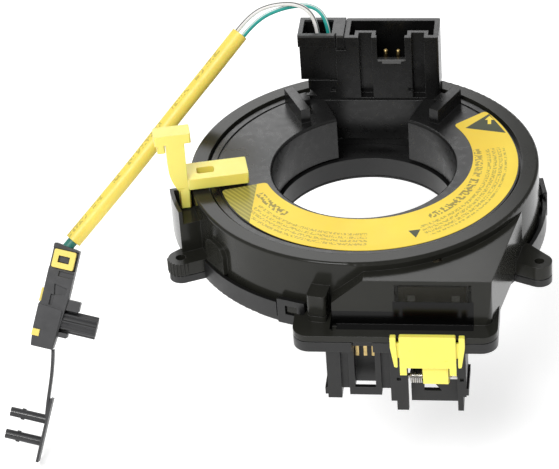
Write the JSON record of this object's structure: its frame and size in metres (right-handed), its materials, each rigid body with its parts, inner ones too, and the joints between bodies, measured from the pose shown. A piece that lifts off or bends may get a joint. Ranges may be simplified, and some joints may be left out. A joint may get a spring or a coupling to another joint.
{
  "type": "steering clock spring",
  "caption": "Round steering clock spring with a turning rotor and flat cable, case connectors, a wheel socket, an airbag lead and a pull-out lock tab.",
  "frame": {"origin": "on the spin axis at the back face of the cover floor, 0.5 mm in front of the land round the bore", "axes": "+Z along the spin axis towards the steering wheel, -Y towards the connector nose of the case, +X to the right seen from the steering wheel"},
  "size_m": [0.1738, 0.1246, 0.1195],
  "materials": {
    "smoked_case": "smoky translucent, glossy",
    "cover_black": "satin",
    "rotor_black": "satin",
    "connector_black": "satin",
    "plug_black": "satin",
    "acetal_white": "satin",
    "tape_film": "glossy film over flat copper",
    "label_film": "printed film",
    "lock_yellow": "satin",
    "plug_insert_yellow": "satin",
    "sheath_yellow": "soft vinyl",
    "wire_white": "soft vinyl with a dark line",
    "wire_green": "soft vinyl with a light line",
    "olive_block": "satin",
    "pin_brass": "plated",
    "steel": "bright"
  },
  "bodies": {
    "case": {"upper_case": "smoked_case", "bottom_cover": "cover_black", "connector_block": "connector_black", "signal_pins": "pin_brass", "squib_pins": "pin_brass", "terminal_carrier": "olive_block", "lever_pin": "steel", "lever_spring": "steel"},
    "lever": {"lock_lever": "lock_yellow"},
    "tab": {"lock_tab": "lock_yellow"},
    "rotor": {"rotor_plate": "rotor_black", "rotor_retainer": "rotor_black", "socket_housing": "rotor_black", "socket_pins": "pin_brass", "wire_block": "rotor_black", "label": "label_film", "wire_white": "wire_white", "wire_green": "wire_green", "sheath": "sheath_yellow", "plug_body": "plug_black", "plug_insert": "plug_insert_yellow", "tether_clip": "plug_black"},
    "clip": {"plug_clip": "plug_insert_yellow"},
    "carrier": {"roller_carrier": "acetal_white", "flat_cable": "tape_film"},
    "roller_1": {"roller_1": "acetal_white"},
    "roller_2": {"roller_2": "acetal_white"},
    "roller_3": {"roller_3": "acetal_white"},
    "roller_4": {"roller_4": "acetal_white"},
    "roller_5": {"roller_5": "acetal_white"},
    "roller_6": {"roller_6": "acetal_white"}
  },
  "joints": [
    {"name": "rotor_spin", "type": "hinge", "parent": "case", "child": "rotor", "pos_m": [0, 0, 0], "axis": [0, 0, 1], "range_deg": [-180, 30]},
    {"name": "carrier_spin", "type": "hinge", "parent": "case", "child": "carrier", "pos_m": [0, 0, 0], "axis": [0, 0, 1], "range_deg": [-83, 14]},
    {"name": "lock_tab_lift", "type": "slide", "parent": "case", "child": "tab", "axis": [0, 0, 1], "range_m": [0, 0.03]},
    {"name": "lock_lever_tilt", "type": "hinge", "parent": "case", "child": "lever", "pos_m": [0.0225, -0.06, -0.0134], "axis": [1, 0, 0], "range_deg": [0, 20], "stiffness_Nm_per_rad": 0.02, "springref_deg": -5.73},
    {"name": "plug_clip_slide", "type": "slide", "parent": "rotor", "child": "clip", "axis": [0.1204, -0.8151, 0.5667], "range_m": [0, 0.0015]},
    {"name": "roller_1_spin", "type": "hinge", "parent": "carrier", "child": "roller_1", "pos_m": [0.0465, 0, 0.011], "axis": [0, 0, 1], "range_deg": [-204, 1223]},
    {"name": "roller_2_spin", "type": "hinge", "parent": "carrier", "child": "roller_2", "pos_m": [0.02325, 0.04027, 0.011], "axis": [0, 0, 1], "range_deg": [-204, 1223]},
    {"name": "roller_3_spin", "type": "hinge", "parent": "carrier", "child": "roller_3", "pos_m": [-0.02325, 0.04027, 0.011], "axis": [0, 0, 1], "range_deg": [-204, 1223]},
    {"name": "roller_4_spin", "type": "hinge", "parent": "carrier", "child": "roller_4", "pos_m": [-0.0465, 0, 0.011], "axis": [0, 0, 1], "range_deg": [-204, 1223]},
    {"name": "roller_5_spin", "type": "hinge", "parent": "carrier", "child": "roller_5", "pos_m": [-0.02325, -0.04027, 0.011], "axis": [0, 0, 1], "range_deg": [-204, 1223]},
    {"name": "roller_6_spin", "type": "hinge", "parent": "carrier", "child": "roller_6", "pos_m": [0.02325, -0.04027, 0.011], "axis": [0, 0, 1], "range_deg": [-204, 1223]}
  ],
  "couplings": [
    {"joint": "carrier_spin", "follows": "rotor_spin", "ratio": 0.457},
    {"joint": "roller_1_spin", "follows": "rotor_spin", "ratio": -6.79},
    {"joint": "roller_2_spin", "follows": "rotor_spin", "ratio": -6.79},
    {"joint": "roller_3_spin", "follows": "rotor_spin", "ratio": -6.79},
    {"joint": "roller_4_spin", "follows": "rotor_spin", "ratio": -6.79},
    {"joint": "roller_5_spin", "follows": "rotor_spin", "ratio": -6.79},
    {"joint": "roller_6_spin", "follows": "rotor_spin", "ratio": -6.79}
  ]
}
